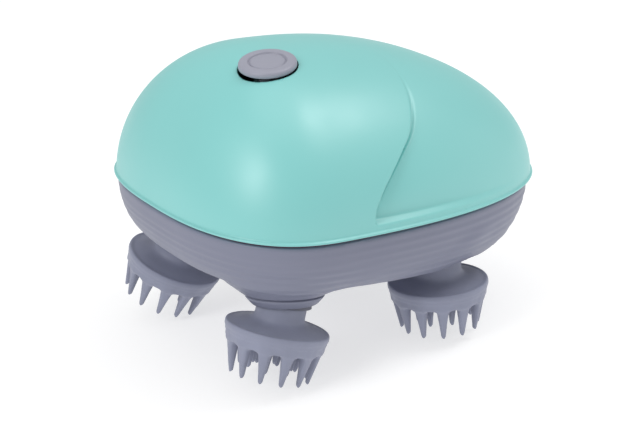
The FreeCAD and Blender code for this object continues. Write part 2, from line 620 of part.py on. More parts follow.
def circuit_board():
    board = box(18.4, 36.0, -16, 16, BOARD_Z, BOARD_Z + BOARD_THICK)
    for x, y in BOARD_SPOTS:
        board = board.cut(cylinder(1.1, BOARD_Z - 1, BOARD_Z + 3, x, y))
    chips = [box(24, 30, -3, 3, BOARD_Z + BOARD_THICK, BOARD_Z + BOARD_THICK + 1.4),
             box(25, 28, 8, 12, BOARD_Z + BOARD_THICK, BOARD_Z + BOARD_THICK + 2.0),
             box(23, 29, -12, -7, BOARD_Z + BOARD_THICK, BOARD_Z + BOARD_THICK + 3.0)]
    return joined([board] + chips)


def switch_board():
    return placed(cylinder(9.0, SWITCH_FOOT - 1.2, SWITCH_FOOT), button_placement())


def tact_switch():
    body = box(-3, 3, -3, 3, SWITCH_FOOT, SWITCH_FOOT + 3.0)
    plunger = cylinder(1.7, SWITCH_FOOT + 3.0, STEM_END - BUTTON_TRAVEL - 0.05)
    return placed(joined([body, plunger]), button_placement())


def status_led():
    dome = cylinder(0.9, SWITCH_FOOT, SWITCH_FOOT + 1.2, 5.4, 0)
    return placed(dome, button_placement())


def charge_socket():
    shell = slot_bar(SOCKET_X0 + 0.4, PORT_X - 0.2, PORT_W, PORT_H)
    room = slot_bar(SOCKET_X0 + 1.4, PORT_X + 1, PORT_W - 0.6, PORT_H - 0.6)
    tongue = box(SOCKET_X0 + 1.0, PORT_X - 1.6, -3.2, 3.2, PORT_Z - 0.35, PORT_Z + 0.35)
    return placed(shell.cut(room).fuse(tongue), BODY)


def charge_board():
    return placed(box(SOCKET_X0 + 0.2, PORT_X - 2.6, -6, 6, PORT_Z - 3.3, PORT_Z - PORT_H / 2), BODY)


def port_plug():
    """Silicone cover, flush with the shell, that pulls straight out of the narrow end."""
    cover = box(PORT_X + 1.6, PORT_X + 9, -6.5, 6.5, PORT_Z - 3.5, PORT_Z + 3.5)
    cover = placed(cover, BODY).common(bowl_solid(0.0, SEAM_GAP / 2, BOWL_DEPTH))
    bung = slot_bar(PORT_X - 1.3, PORT_X + 1.6, PORT_W - 0.7, PORT_H - 0.7)
    return cover.fuse(placed(bung, BODY))


# ---- heads ------------------------------------------------------------------------------------
def shaft_bush():
    sleeve = tube(BUSH_R, SHAFT_R + RUNNING, 3.2, BUSH_TOP)
    return joined([sleeve, tube(5.4, SHAFT_R + RUNNING, BUSH_TOP, 8.6)])


def shaft_seal():
    return tube(SEAL_R, SHAFT_R + RUNNING, 2.4, 3.2)


def output_shaft():
    return cylinder(SHAFT_R, -1.2, HEAD_GEAR_Z1 + 0.4)


def stub_section(radius, flat, z0, z1):
    """Round bar along the claw's axis with one flat, so that the claw can't turn on it."""
    bar = Part.makeCylinder(radius, z1 - z0, Vector(0, 0, z0), UP)
    return bar.cut(box(flat, radius + 1, -radius - 1, radius + 1, z0 - 1, z1 + 1))


def head_hub(number):
    """Disc in the mouth of a boss, cut square to the bent stub that it carries."""
    boss = boss_placement(HEADINGS[number])
    claw = claw_placement(number)
    disc = placed(cylinder(HUB_R, -MOUTH - 3, 2.0), boss)
    disc = disc.cut(placed(cylinder(40, -MOUTH - 30, -MOUTH), claw))
    stub = placed(stub_section(STUB_R, STUB_R - 0.7, -MOUTH - STUB_LENGTH, -MOUTH + 1), claw)
    hub = disc.fuse(stub).removeSplitter()
    return hub.cut(placed(cylinder(SHAFT_R, -1.2, 3), boss))


def claw_tooth(root_r, root_z, tip_r, tip_z, stations):
    """One pointed tooth in the XZ plane, from (share of length, half width, depth) stations."""
    wires = []
    for share, half, deep in stations:
        z = root_z + (tip_z - root_z) * share
        r = root_r + (tip_r - root_r) * share
        ring = [Vector(r, -half, z), Vector(r, half, z), Vector(r - deep, half * 0.75, z),
                Vector(r - deep, -half * 0.75, z)]
        wires.append(Part.makePolygon(ring + ring[:1]))
    return Part.makeLoft(wires, True, True)


def round_of_teeth(tooth, count, first):
    teeth = []
    for i in range(count):
        copy = tooth.copy()
        copy.rotate(Vector(0, 0, 0), UP, 360 / count * (i + first))
        teeth.append(copy)
    return teeth


def claw_head():
    """Silicone claw in its own frame: neck and flare, rim, band, outer and inner teeth."""
    band_z = -CLAW_RIM - CLAW_BAND
    inside_r = CLAW_RIM_R - 4.2
    core_z = -MOUTH - STUB_LENGTH - 2.0
    body = turned([
        (0.0, -MOUTH), (CLAW_NECK_R, -MOUTH), (CLAW_NECK_R, -7.3), (CLAW_NECK_R + 0.5, -8.1),
        (CLAW_NECK_R + 1.6, -8.6), (CLAW_NECK_R + 4.0, -9.1), (CLAW_RIM_R - 1.3, -9.7),
        (CLAW_RIM_R - 0.4, -CLAW_RIM), (CLAW_RIM_R, -CLAW_RIM - 0.6), (CLAW_RIM_R, -CLAW_RIM - 1.1),
        (CLAW_RIM_R - 0.3, -CLAW_RIM - 1.6), (CLAW_RIM_R - 1.0, band_z), (inside_r, band_z),
        (inside_r, -CLAW_RIM - 2.4), (5.4, -CLAW_RIM - 2.4), (5.4, core_z), (0.0, core_z),
    ])
    outer = claw_tooth(CLAW_RIM_R - 1.0, band_z + 0.3, CLAW_TIP_R, -CLAW_LENGTH, OUTER_TOOTH)
    inner = claw_tooth(7.6, -CLAW_RIM - 2.0, 6.4, -CLAW_LENGTH + 1.6, INNER_TOOTH)
    teeth = round_of_teeth(outer, OUTER_TEETH, 0.0) + round_of_teeth(inner, INNER_TEETH, 0.5)
    claw = body.fuse(teeth)
    socket = stub_section(STUB_R + RUNNING, STUB_R - 0.7 + RUNNING, -MOUTH - STUB_LENGTH - 0.1, 0)
    return claw.cut(socket).removeSplitter()


# ---- fasteners ----------------------------------------------------------------------------------
def case_screws():
    screws = []
    for x, y in SCREW_SPOTS:
        seat_z = seam_height(x) - SCREW_SEAT
        shank = cylinder(1.3, seat_z, seat_z + SCREW_SEAT + 6, x, y)
        head = cylinder(2.6, seat_z - 1.8, seat_z, x, y)
        screws.append(cross_recess(joined([shank, head]), seat_z - 1.8, x, y))
    return Part.makeCompound(screws)


def cross_recess(screw, z, x, y, reach=1.4, deep=0.8, up=True):
    """Cuts a cross into a screw's head; the head's face is at z and looks down if up is true."""
    z0, z1 = (z - 1, z + deep) if up else (z - deep, z + 1)
    for half_x, half_y in ((reach, 0.3), (0.3, reach)):
        screw = screw.cut(box(x - half_x, x + half_x, y - half_y, y + half_y, z0, z1))
    return screw


def flat_screws(spots, shank_r, head_r, z0, z1):
    return Part.makeCompound([cross_recess(countersunk(shank_r, head_r, z0, z1, x, y), z1, x, y,
                                           reach=1.2, deep=0.6, up=False) for x, y in spots])


def cover_screws():
    spots = [(HEAD_CENTRE_X + x, y) for x, y in COVER_SPOTS]
    return flat_screws(spots, 0.9, 1.9, COVER_Z - 6, COVER_Z + COVER_THICK)


def board_screws():
    screws = []
    for x, y in BOARD_SPOTS:
        head = cylinder(1.7, BOARD_Z + BOARD_THICK, BOARD_Z + BOARD_THICK + 1.2, x, y)
        shank = cylinder(0.8, BOARD_Z - 3, BOARD_Z + BOARD_THICK, x, y)
        screws.append(cross_recess(joined([head, shank]), BOARD_Z + BOARD_THICK + 1.2, x, y,
                                   reach=1.0, deep=0.6, up=False))
    return Part.makeCompound(screws)


def motor_screws():
    screws = [flipped_countersunk(0.9, 1.8, COVER_Z, MOTOR_Z0 + 3, x, y) for x, y in motor_screw_spots()]
    return Part.makeCompound(screws)


def holder_screws():
    return flat_screws([(HOLDER_X, y) for y in HOLDER_SPOTS], 0.8, 1.7, COVER_Z + 0.3, MOTOR_Z0 + 2)


# ---- build --------------------------------------------------------------------------------------
def build():
    save("top_shell", top_shell())
    save("lower_shell", lower_shell())
    save("seam_gasket", seam_gasket())
    save("button_cap", placed(button_cap(), button_placement()))
    save("button_clip", placed(button_clip(), button_placement()))
    spring = coil_spring(SPRING_R, SPRING_WIRE_R, GUIDE_TOP, -0.8, SPRING_TURNS)
    save("button_spring", placed(spring, button_placement()))
    save("switch_board", switch_board())
    save("tact_switch", tact_switch())
    save("status_led", status_led())
    save("drive_gear", drive_gear())
    save("drive_axle", cylinder(AXLE_R, FLOOR_Z - 1.2, COVER_Z + COVER_THICK, HEAD_CENTRE_X, 0))
    save("idler_gear", idler_gear())
    save("idler_axle", idler_axle())
    save("gearbox_cover", gearbox_cover())
    save("motor_can", motor_can())
    save("motor_shaft", motor_shaft())
    save("motor_pinion", motor_pinion())
    save("battery_cell", battery_cell())
    save("battery_holder", battery_holder())
    save("battery_contacts", battery_contacts())
    save("circuit_board", circuit_board())
    save("charge_socket", charge_socket())
    save("charge_board", charge_board())
    save("port_plug", port_plug())
    save("case_screws", case_screws())
    save("cover_screws", cover_screws())
    save("board_screws", board_screws())
    save("motor_screws", motor_screws())
    save("holder_screws", holder_screws())
    claw = claw_head()
    for number, heading in HEADINGS.items():
        boss = boss_placement(heading)
        save(f"head_gear_{number}", head_gear(heading))
        save(f"output_shaft_{number}", placed(output_shaft(), boss))
        save(f"shaft_bush_{number}", placed(shaft_bush(), boss))
        save(f"shaft_seal_{number}", placed(shaft_seal(), boss))
        save(f"head_hub_{number}", head_hub(number))
        save(f"claw_head_{number}", placed(claw, claw_placement(number)))


build()
os.makedirs("parts", exist_ok=True)
lowest = min(shape.BoundBox.ZMin for shape in parts.values())
for name, shape in parts.items():
    shape.exportStep(f"parts/{name}.step")
    state = "" if shape.isValid() else "  NOT VALID"
    print(f"{name:20s} solids {len(shape.Solids):2d} volume {shape.Volume:10.1f}{state}")
print("lowest point", round(lowest, 3))
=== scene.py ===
"""Looks of the kneading scalp massager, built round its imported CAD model. Metres, Z up, tips on Z = 0."""
import json
import math

import bmesh
import bpy
import numpy as np
from mathutils import Matrix, Vector


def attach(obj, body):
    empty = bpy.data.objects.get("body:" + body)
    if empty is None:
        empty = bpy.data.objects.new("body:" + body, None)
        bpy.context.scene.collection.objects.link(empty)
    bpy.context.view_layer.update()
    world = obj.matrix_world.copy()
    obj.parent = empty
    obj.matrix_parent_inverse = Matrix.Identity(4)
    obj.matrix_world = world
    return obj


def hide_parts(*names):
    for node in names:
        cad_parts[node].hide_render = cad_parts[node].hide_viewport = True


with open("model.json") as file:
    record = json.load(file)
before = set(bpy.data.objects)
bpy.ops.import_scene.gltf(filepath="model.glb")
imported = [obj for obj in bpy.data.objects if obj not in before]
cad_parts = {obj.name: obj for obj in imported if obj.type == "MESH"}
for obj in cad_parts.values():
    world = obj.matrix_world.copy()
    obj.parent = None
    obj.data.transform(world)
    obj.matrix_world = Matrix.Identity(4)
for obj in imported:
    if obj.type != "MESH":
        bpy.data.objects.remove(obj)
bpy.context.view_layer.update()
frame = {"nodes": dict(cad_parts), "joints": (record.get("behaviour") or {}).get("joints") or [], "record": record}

MM = 0.001

# ---- the body's form, in millimetres, as in the CAD -----------------------------------------------
# In the body's own frame the parting line is level at SEAM_Z; the matrix BODY gives it its tilt.
BODY_LENGTH = 115.0
HALF_WIDTH = 48.0
BLUNT_LENGTH = 32.0            # from the widest place to the blunt end, which points to -X
NARROW_LENGTH = BODY_LENGTH - BLUNT_LENGTH
BLUNT_POWER = 2.6              # powers of the plan curve's two halves; 2 is an ellipse
NARROW_POWER = 2.38
BODY_X = -0.276
PLAN_X = BODY_X + BLUNT_LENGTH - BODY_LENGTH / 2
DOME_RISE = 41.0
DOME_SHIFT = 3.0               # how far the dome's top stands towards +X
SEAM_GAP = 0.8
SEAM_Z = 42.79
BODY_TILT = math.radians(4.5)
WALL = 2.2
BOWL_DEPTH = 18.1
BOWL_KEEL = 0.075              # how much deeper the bowl gets for each millimetre towards +X
RIB_PITCH = 2.3                # of the bowl's level lines
RIB_HEIGHT = 0.07
BOWL_STEPS = ((0.0, 0.988), (3.3, 0.985), (6.6, 0.975), (9.9, 0.955), (13.2, 0.925),
              (15.8, 0.885), (17.5, 0.84), (BOWL_DEPTH, 0.79))   # depth, share of the plan curve
SCREW_SPOTS = ((-6.6, 36.5), (-6.6, -36.5), (39.4, 0.0), (-48.6, 0.0))
SCREW_SEAT = 8.0
PORT_X = 52.6
PORT_DEPTH = 6.4               # of the port's middle below the parting line
MOUTH = 3.6                    # how far a boss reaches past its origin
BOSS_BORE_R = 7.7
BOSS_COLLAR_R = 8.8
CLAW_TURNS = {1: 28.5, 2: 16.5, 3: 0.0, 4: 15.0}
OUTER_TEETH = 12
INNER_TEETH = 6
BUTTON_R = 7.7
BUTTON_RING_R = 4.9
BUTTON_STAND = 0.9             # how far the cap stands out of the dome

joints = {joint["name"]: joint for joint in frame["joints"]}
HEAD_CENTRE_X = joints["drive_gear_spin"]["pos_m"][0] / MM
BODY_MIDDLE = Vector((HEAD_CENTRE_X, 0, SEAM_Z))
BODY = Matrix.Translation(BODY_MIDDLE) @ Matrix.Rotation(BODY_TILT, 4, "Y") @ Matrix.Translation(-BODY_MIDDLE)


def moved(points, matrix):
    """Points (..., 3) taken through a 4x4 matrix."""
    m = np.array(matrix)
    return points @ m[:3, :3].T + m[:3, 3]


def upright(up):
    """The turn that takes +Z to a direction."""
    return Vector((0, 0, 1)).rotation_difference(up).to_matrix().to_4x4()


def new_object(name, vertices, faces, material, smooth=True):
    """A mesh object from points in millimetres in the CAD frame."""
    mesh = bpy.data.meshes.new(name)
    mesh.from_pydata((np.asarray(vertices) * MM).tolist(), [], [list(f) for f in faces])
    mesh.update()
    mesh.materials.append(material)
    if smooth:
        mesh.polygons.foreach_set("use_smooth", [True] * len(mesh.polygons))
    piece = bpy.data.objects.new(name, mesh)
    bpy.context.scene.collection.objects.link(piece)
    return piece


# ---- materials ---------------------------------------------------------------------------------
def srgb(r, g, b):
    """Linear colour from 0-255 display values."""
    return tuple(c / 12.92 if c <= 0.04045 else ((c + 0.055) / 1.055) ** 2.4
                 for c in (r / 255, g / 255, b / 255)) + (1.0,)


class Nodes:
    """A short way to write a node material."""

    def __init__(self, name):
        self.material = bpy.data.materials.new(name)
        self.material.use_nodes = True
        self.tree = self.material.node_tree
        self.shader = self.tree.nodes["Principled BSDF"]
        self.place = self.add("ShaderNodeTexCoord").outputs["Object"]

    def add(self, kind, **settings):
        """A new node, with values for its inputs or its own settings."""
        node = self.tree.nodes.new(kind)
        for key, value in settings.items():
            if key in node.inputs:
                node.inputs[key].default_value = value
            else:
                setattr(node, key, value)
        return node

    def link(self, a, b):
        self.tree.links.new(a, b)

    def noise(self, scale, detail=3.0, roughness=0.5, place=None):
        """Noise from 0 to 1, scale bumps to the metre."""
        node = self.add("ShaderNodeTexNoise", Scale=scale, Detail=detail, Roughness=roughness)
        self.link(place or self.place, node.inputs["Vector"])
        return node.outputs["Fac"]

    def ramp(self, value, low, high, at=(0.0, 1.0)):
        """A colour between two, as the value goes from the first place to the second."""
        node = self.add("ShaderNodeValToRGB")
        node.color_ramp.elements[0].position, node.color_ramp.elements[1].position = at
        node.color_ramp.elements[0].color = low
        node.color_ramp.elements[1].color = high
        self.link(value, node.inputs["Fac"])
        return node.outputs["Color"]

    def spread(self, value, low, high, source=(0.3, 0.7)):
        """The value's usual span, stretched to low and high."""
        node = self.add("ShaderNodeMapRange")
        node.inputs["From Min"].default_value, node.inputs["From Max"].default_value = source
        node.inputs["To Min"].default_value, node.inputs["To Max"].default_value = low, high
        self.link(value, node.inputs["Value"])
        return node.outputs["Result"]

    def set(self, **values):
        """Inputs of the shader, by name with _ for a space: a value, or a socket to link."""
        for key, value in values.items():
            socket = self.shader.inputs[key.replace("_", " ")]
            if hasattr(value, "links"):
                self.link(value, socket)
            else:
                socket.default_value = value

    def bump(self, *layers):
        """Bump layers of (height, strength, distance in metres), the first one lowest."""
        normal = None
        for height, strength, distance in layers:
            node = self.add("ShaderNodeBump", Strength=strength, Distance=distance)
            self.link(height, node.inputs["Height"])
            if normal:
                self.link(normal, node.inputs["Normal"])
            normal = node.outputs["Normal"]
        self.link(normal, self.shader.inputs["Normal"])


def tint(colour, factor):
    """A colour made darker or lighter."""
    return tuple(min(1.0, c * factor) for c in colour[:3]) + (1.0,)


def moulded_plastic(name, colour, roughness=0.42, grain=0.25, variation=0.03, gloss=0.5):
    """Injection-moulded plastic: fine spark texture, slow tone drift, uneven sheen."""
    n = Nodes(name)
    drift = n.noise(scale=14.0, detail=2.0)
    n.set(Base_Color=n.ramp(drift, tint(colour, 1 - variation), tint(colour, 1 + variation), (0.35, 0.65)),
          Roughness=n.spread(n.noise(scale=60.0, detail=4.0), roughness - 0.05, roughness + 0.05),
          Specular_IOR_Level=gloss)
    n.bump((n.noise(scale=2600.0, detail=2.0), grain, 0.00004),
           (n.noise(scale=9000.0, detail=1.0), grain * 0.7, 0.00002))
    return n.material


def silicone(name, colour):
    """Soft matt rubber: faint depth of colour, dusty sheen and a fine skin."""
    n = Nodes(name)
    patch = n.noise(scale=90.0, detail=4.0)
    n.set(Base_Color=n.ramp(patch, tint(colour, 0.93), tint(colour, 1.06), (0.35, 0.65)),
          Roughness=n.spread(n.noise(scale=240.0), 0.5, 0.64), Sheen_Weight=0.12, Sheen_Roughness=0.5,
          Subsurface_Weight=0.08, Subsurface_Radius=(0.002, 0.0018, 0.0018), Subsurface_Scale=0.5)
    n.bump((n.noise(scale=3800.0), 0.3, 0.00004))
    return n.material


def metal(name, colour, roughness=0.28, streak=(40.0, 40.0, 1200.0)):
    """Ground or plated metal with fine turning marks."""
    n = Nodes(name)
    mapping = n.add("ShaderNodeMapping")
    mapping.inputs["Scale"].default_value = streak
    n.link(n.place, mapping.inputs["Vector"])
    marks = n.noise(scale=3.0, detail=4.0, place=mapping.outputs["Vector"])
    n.set(Base_Color=n.ramp(marks, tint(colour, 0.85), tint(colour, 1.08), (0.3, 0.7)), Metallic=1.0,
          Roughness=n.spread(marks, roughness - 0.08, roughness + 0.1))
    n.bump((marks, 0.15, 0.00003))
    return n.material


def film(name, colour, roughness=0.22):
    """Shrink film, solder mask and other thin glossy coats."""
    n = Nodes(name)
    blotches = n.noise(scale=200.0, detail=5.0)
    n.set(Base_Color=n.ramp(blotches, tint(colour, 0.85), tint(colour, 1.12), (0.3, 0.7)),
          Roughness=n.spread(n.noise(scale=500.0), roughness, roughness + 0.12), Coat_Weight=0.4)
    n.bump((n.noise(scale=900.0), 0.2, 0.00005))
    return n.material


GREY_ROUGHNESS = 0.46
GREY_GRAIN = 0.3
RIB_BUMP = 0.0002              # metres, on top of the ribs in the mesh
WAVE_RATE = 20                 # radians per unit of the wave texture at scale 1


def ribbed_plastic(name, colour):
    """Satin plastic with the bowl's fine level lines, in the body's tilted frame."""
    material = moulded_plastic(name, colour, roughness=GREY_ROUGHNESS, grain=GREY_GRAIN)
    tree = material.node_tree
    turn = tree.nodes.new("ShaderNodeMapping")
    turn.inputs["Rotation"].default_value = (0.0, -BODY_TILT, 0.0)
    lines = tree.nodes.new("ShaderNodeTexWave")
    lines.bands_direction = "Z"
    lines.inputs["Scale"].default_value = 2 * math.pi / (WAVE_RATE * RIB_PITCH * MM)
    lines.inputs["Distortion"].default_value = 0.15
    lines.inputs["Detail Scale"].default_value = 3.0
    bump = tree.nodes.new("ShaderNodeBump")
    bump.inputs["Strength"].default_value = 0.6
    bump.inputs["Distance"].default_value = RIB_BUMP
    shader = tree.nodes["Principled BSDF"]
    place = next(node for node in tree.nodes if node.type == "TEX_COORD")
    tree.links.new(place.outputs["Object"], turn.inputs["Vector"])
    tree.links.new(turn.outputs["Vector"], lines.inputs["Vector"])
    tree.links.new(lines.outputs["Fac"], bump.inputs["Height"])
    tree.links.new(shader.inputs["Normal"].links[0].from_socket, bump.inputs["Normal"])
    tree.links.new(bump.outputs["Normal"], shader.inputs["Normal"])
    return material


MINT = srgb(126, 200, 197)
GREY = srgb(122, 125, 144)
CLAW_GREY = srgb(135, 139, 159)
BUTTON_GREY = srgb(150, 151, 165)

mint = moulded_plastic("mint_satin", MINT, roughness=0.41, grain=0.12, variation=0.02, gloss=0.95)
grey = moulded_plastic("grey_satin", GREY, roughness=GREY_ROUGHNESS, grain=GREY_GRAIN)
bowl_grey = ribbed_plastic("grey_ribbed", GREY)
button_grey = moulded_plastic("button_satin", BUTTON_GREY, roughness=0.42, grain=0.2)
claw_rubber = silicone("claw_silicone", CLAW_GREY)
dark_rubber = silicone("dark_rubber", srgb(96, 66, 88))
SLOT_MATERIALS = {
    "mint_shell": mint,
    "grey_shell": grey,
    "button_grey": button_grey,
    "claw_silicone": claw_rubber,
    "gasket_dark": dark_rubber,
    "white_nylon": moulded_plastic("white_nylon", srgb(228, 226, 216), roughness=0.5, grain=0.3),
    "hub_grey": moulded_plastic("hub_grey", srgb(100, 102, 116), roughness=0.45, grain=0.3),
    "steel": metal("ground_steel", srgb(196, 197, 200)),
    "bronze": metal("sintered_bronze", srgb(182, 140, 88), roughness=0.45, streak=(900.0, 900.0, 900.0)),
    "motor_steel": metal("zinc_plate", srgb(176, 180, 184), roughness=0.35, streak=(300.0, 300.0, 300.0)),
    "cell_wrap": film("cell_film", srgb(52, 96, 150)),
    "black_plastic": moulded_plastic("black_plastic", srgb(40, 41, 45), roughness=0.5, grain=0.4),
    "circuit_green": film("solder_mask", srgb(34, 92, 58), roughness=0.3),
    "contact_nickel": metal("nickel_plate", srgb(205, 200, 188), roughness=0.2),
    "led_white": film("clear_led", srgb(232, 238, 238), roughness=0.1),
}
for row in frame["record"]["subparts"]:
    cad_object = frame["nodes"][row["node"]]
    cad_object.data.materials.clear()
    cad_object.data.materials.append(SLOT_MATERIALS[row["material_slot"]])


# ---- the egg-shaped plan -------------------------------------------------------------------------
def plan_radius(angle):
    """Reach of the plan curve along each angle, for unit half-lengths."""
    c, s = np.cos(angle), np.sin(angle)
    power = np.where(c < 0, BLUNT_POWER, NARROW_POWER)
    return (np.abs(c) ** power + np.abs(s) ** power) ** (-1 / power)


def plan_points(angle, share, inset):
    """X and Y of the plan curve scaled by share, less inset."""
    c, s = np.cos(angle), np.sin(angle)
    length = np.where(c < 0, BLUNT_LENGTH, NARROW_LENGTH)
    r = plan_radius(angle)
    return PLAN_X + (length * share - inset) * r * c, (HALF_WIDTH * share - inset) * r * s


# ---- top shell with its creases --------------------------------------------------------------------
CREASE = ((40.0, 5.6), (32.5, 3.4), (28.6, 1.7), (23.4, -2.0), (19.0, -7.0), (13.5, -12.8),
          (9.2, -16.4), (6.0, -18.0), (0.0, -18.6))    # height above the seam, and x, down the crease
CREASE_STEPS = 90              # between two of those places
CREASE_DEPTH = 2.4             # how far the side panel sinks beyond the crease
CREASE_SLANT = 0.8             # across the crease, for each millimetre along X
CREASE_EDGE = (-0.3, 0.45)     # across the crease, where the panel starts to sink and where it is down
CREASE_FADE = (33, 10)         # height at which the panel starts, and where it has its full depth
PANEL_REACH = 8.0              # how soon the panel comes back to the plain dome, beyond the crease
LIP_Z = 3.4                    # foot of the sunk panel, above the seam
LIP_EDGE = (-0.45, 0.6)
LIP_SHARE = 0.85               # of the crease's depth
LIP_REACH = 9.0                # how soon the panel comes back to the plain dome, above the lip
LIP_FADE = (-15, 46)           # x from which the lip gets shallower, and where it ends
SIDE_FADE = (4, 16)            # distances from the middle plane between which the panels start
GROOVE_DEPTH = 0.55            # of the fine valley that runs along the crease
GROOVE_REACH = 0.5
GROOVE_TOP = (35, 22)
GROOVE_FOOT = (LIP_Z, LIP_Z + 4)
BEAD = ((0.4, -0.15), (0.45, 0.2), (0.56, 0.45), (0.75, 0.58), (0.95, 0.6), (1.12, 0.5), (1.24, 0.28),
        (1.36, 0.05))          # height above the seam, and how far the shell's bottom edge stands out
BEAD_TOP = 1.6                 # height at which the dome's grid starts
RIM = ((1.9, 0.6), (1.4, 0.4), (0.6, 0.4))    # inset from the plan curve, and height, under the bead
DOME_COLUMNS = 640
DOME_ROWS = 118
INNER_ROWS = 10                # of the shell's inner skin
INNER_LIFT = 0.05              # angle up the dome at which that skin starts
FINE_ANGLES = 500              # at which the search for the crease looks
CREASE_COLUMN = 0.45           # share of the half turn at which a column of the mesh follows the crease
CREASE_SPAN = (0.3, 2.4)       # angles between which that column stays
CREASE_CROWDING = 0.7          # how much closer together the columns are beside it


def crease_line():
    """Heights above the seam and the crease's x there, from its foot up."""
    heights, places = np.array(smooth_line(CREASE, CREASE_STEPS))[::-1].T
    return heights, places + BODY_X


def eased(share):
    """A share that still runs from 0 to 1, but slower and slower towards 1."""
    return share + CREASE_CROWDING * np.sin(np.pi * share) / np.pi


def crease_angles(climb):
    """Angles (rows, columns) of the mesh, with one column along the crease on each side."""
    turn = np.linspace(0, 2 * np.pi, DOME_COLUMNS, endpoint=False)
    half = np.minimum(turn, 2 * np.pi - turn) / np.pi
    fine = np.linspace(0, np.pi, FINE_ANGLES)
    heights, places = crease_line()
    rows = []
    for t in climb:
        lift = math.sin(t)
        x = plan_points(fine, math.cos(t), 0.0)[0] + DOME_SHIFT * lift ** 2
        place = np.interp(DOME_RISE * lift, heights, places)
        at = np.clip(np.interp(-place, -x, fine), *CREASE_SPAN)
        before = at * eased(np.minimum(half / CREASE_COLUMN, 1))
        after = (np.pi - at) * eased(np.minimum((1 - half) / (1 - CREASE_COLUMN), 1))
        angle = np.where(half < CREASE_COLUMN, before, np.pi - after)
        rows.append(np.where(turn > np.pi, 2 * np.pi - angle, angle))
    return np.array(rows)


def dome_grid(rows, inset, first_lift):
    """Points (rows, columns, 3) of the dome's skin from the rim up, not including the top point."""
    climb = np.linspace(first_lift, np.pi / 2, rows + 1)[:-1]
    t = climb[:, None]
    lift = np.sin(t)
    x, y = plan_points(crease_angles(climb), np.cos(t), inset * np.cos(t))
    z = np.broadcast_to(SEAM_Z + (DOME_RISE - inset) * lift, x.shape)
    return np.stack([x + DOME_SHIFT * lift ** 2, y, z], -1)


def step(value, low, high):
    """0 at low and 1 at high, with a soft start and end."""
    t = np.clip((value - low) / (high - low), 0, 1)
    return t * t * (3 - 2 * t)


def panel_depth(points):
    """How far the side panels behind the creases sink below the plain dome."""
    z = points[..., 2] - SEAM_Z
    heights, places = crease_line()
    beyond = (points[..., 0] - np.interp(z, heights, places)) * CREASE_SLANT
    crease = CREASE_DEPTH * step(z, *CREASE_FADE) * np.exp(-np.maximum(beyond, 0) / PANEL_REACH)
    lip_share = LIP_SHARE * (1 - step(points[..., 0], *LIP_FADE))
    lip = CREASE_DEPTH * lip_share * np.exp(-np.maximum(z - LIP_Z, 0) / LIP_REACH)
    depth = crease + lip - crease * lip / CREASE_DEPTH
    panel = depth * step(beyond, *CREASE_EDGE) * step(z - LIP_Z, *LIP_EDGE)
    groove = GROOVE_DEPTH * np.exp(-((beyond - GROOVE_REACH) / GROOVE_REACH) ** 2)
    groove = groove * step(z, *GROOVE_TOP) * step(z, *GROOVE_FOOT)
    return (panel + groove) * step(np.abs(points[..., 1]), *SIDE_FADE)


def grid_normals(points):
    """Outward normals of a closed grid of points (rows, columns, 3)."""
    across = np.roll(points, -1, 1) - np.roll(points, 1, 1)
    up = np.gradient(points, axis=0)
    n = np.cross(across, up)
    return n / np.linalg.norm(n, axis=-1, keepdims=True)


def loft_faces(rings, columns):
    """Quads between closed rings of points that follow each other."""
    faces = []
    for a in range(0, (rings - 1) * columns, columns):
        b = a + columns
        for j in range(columns):
            k = (j + 1) % columns
            faces.append((a + j, a + k, b + k, b + j))
    return faces


def rim_ring(angle, share, inset, height):
    """A ring of points level with the parting line."""
    x, y = plan_points(angle, share, inset)
    return np.stack([x, y, np.full_like(x, SEAM_Z + height)], -1)


def make_top_shell():
    """The dome with its side panels, the bead at its edge and its inner skin."""
    first_lift = math.asin(BEAD_TOP / DOME_RISE)
    outer = dome_grid(DOME_ROWS, 0.0, first_lift)
    outer = outer - grid_normals(outer) * panel_depth(outer)[..., None]
    angle = crease_angles([first_lift])[0]
    rim = [rim_ring(angle, 1.0, inset, height) for inset, height in RIM]
    rim += [rim_ring(angle, math.cos(height / DOME_RISE), -stand, height) for height, stand in BEAD]
    inner = dome_grid(INNER_ROWS, WALL, INNER_LIFT)[::-1]
    grids = np.concatenate([inner, np.array(rim), outer])
    faces = loft_faces(len(grids), DOME_COLUMNS)
    points = grids.reshape(-1, 3)
    top_in = len(points)
    last = top_in - DOME_COLUMNS
    points = np.vstack([points, [PLAN_X + DOME_SHIFT, 0, SEAM_Z + DOME_RISE - WALL],
                        [PLAN_X + DOME_SHIFT, 0, SEAM_Z + DOME_RISE]])
    for j in range(DOME_COLUMNS):
        k = (j + 1) % DOME_COLUMNS
        faces.append((k, j, top_in))
        faces.append((last + j, last + k, top_in + 1))
    shell = new_object("top_shell_skin", moved(points, BODY), faces, mint)
    cut_button_hole(shell)
    return shell


BUTTON_GAP = 0.3
HOLE_LENGTH = 14
HOLE_SEGMENTS = 128


def button_frame():
    """Matrix of the button: origin on its axis at the dome's skin, Z up its axis, in millimetres."""
    turn = upright(-Vector(joints["button_press"]["axis"]))
    level = turn.inverted().to_3x3()
    cap = [(level @ vertex.co) / MM for vertex in frame["nodes"]["button_cap"].data.vertices]
    x = (min(p.x for p in cap) + max(p.x for p in cap)) / 2
    y = (min(p.y for p in cap) + max(p.y for p in cap)) / 2
    origin = turn.to_3x3() @ Vector((x, y, max(p.z for p in cap) - BUTTON_STAND))
    return Matrix.Translation(origin) @ turn


